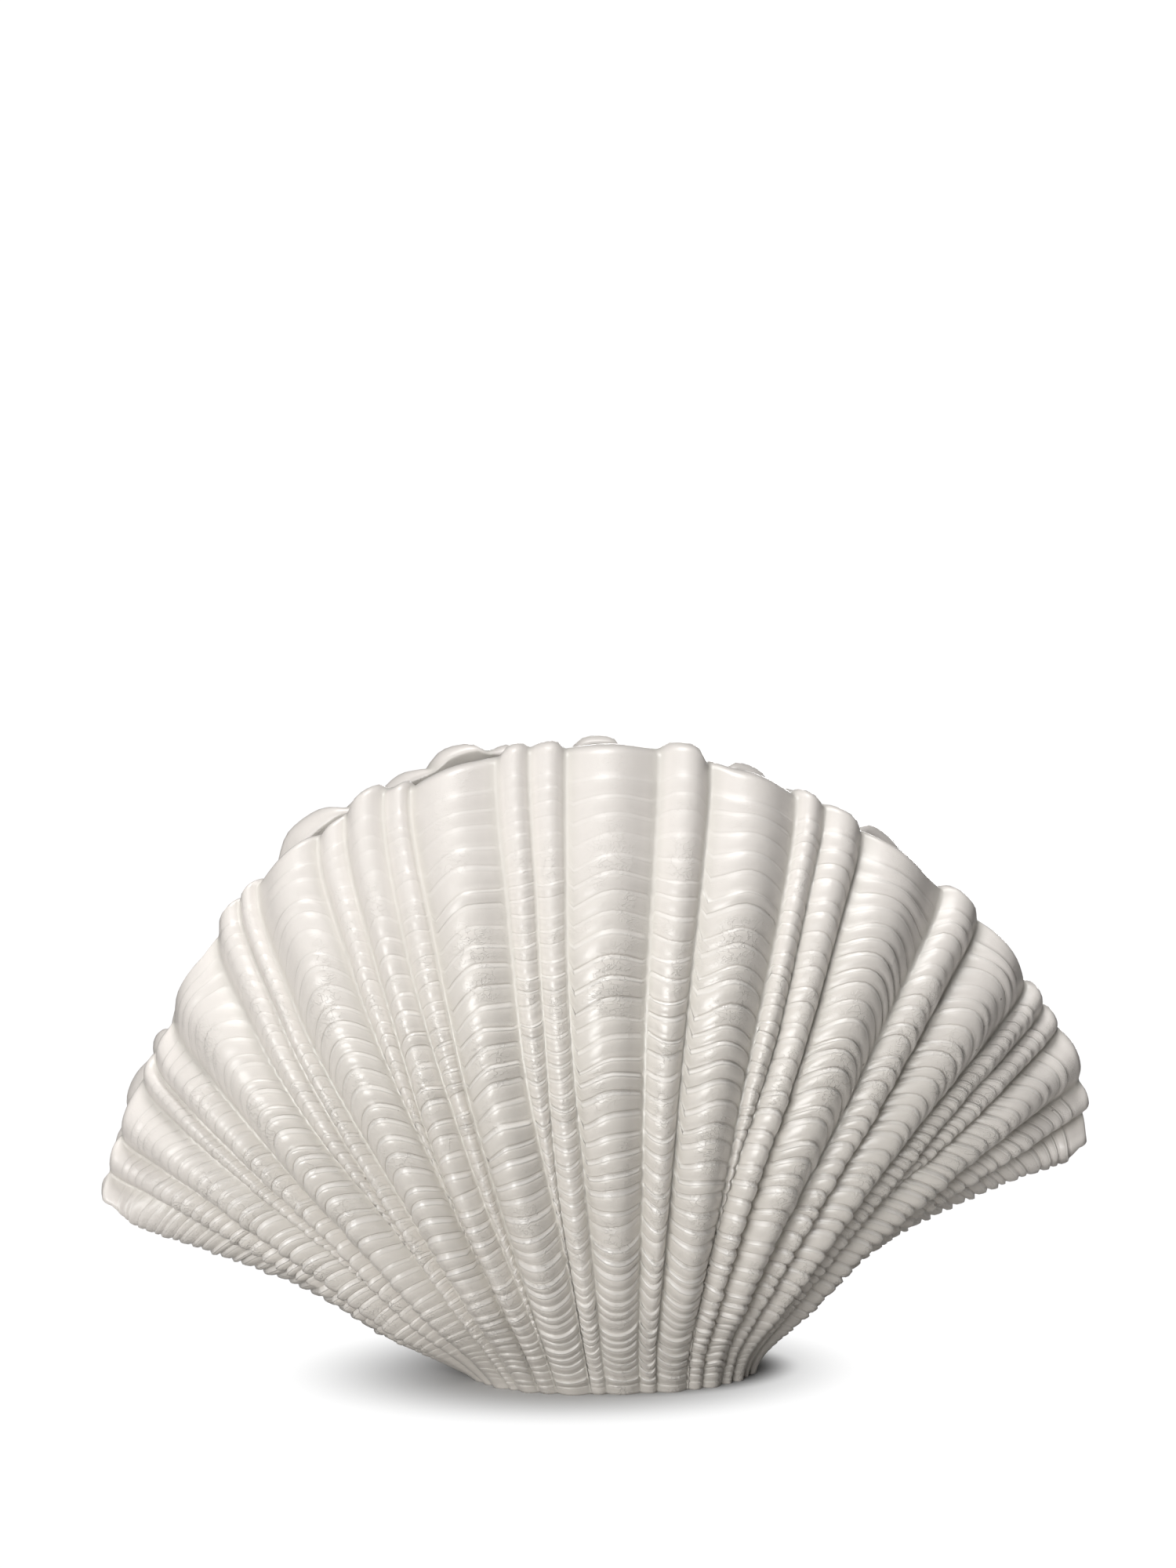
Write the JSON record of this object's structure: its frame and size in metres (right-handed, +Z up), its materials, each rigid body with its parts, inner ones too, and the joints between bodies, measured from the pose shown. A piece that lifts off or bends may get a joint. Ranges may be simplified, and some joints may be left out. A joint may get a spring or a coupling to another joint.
{
  "type": "ceramic shell vase",
  "caption": "Wide ceramic vase in the form of two fluted scallop shells joined at rounded tips, with a long slit mouth on top and a small oval foot.",
  "frame": {"origin": "on the table, under the middle of the vase's box", "axes": "+Z up, +X along the vase towards its higher right tip, -Y towards its front face"},
  "size_m": [0.3432, 0.1498, 0.2225],
  "materials": {
    "glaze": "warm off-white satin glaze"
  },
  "bodies": {
    "root": {"shell_vase": "glaze"}
  },
  "joints": []
}
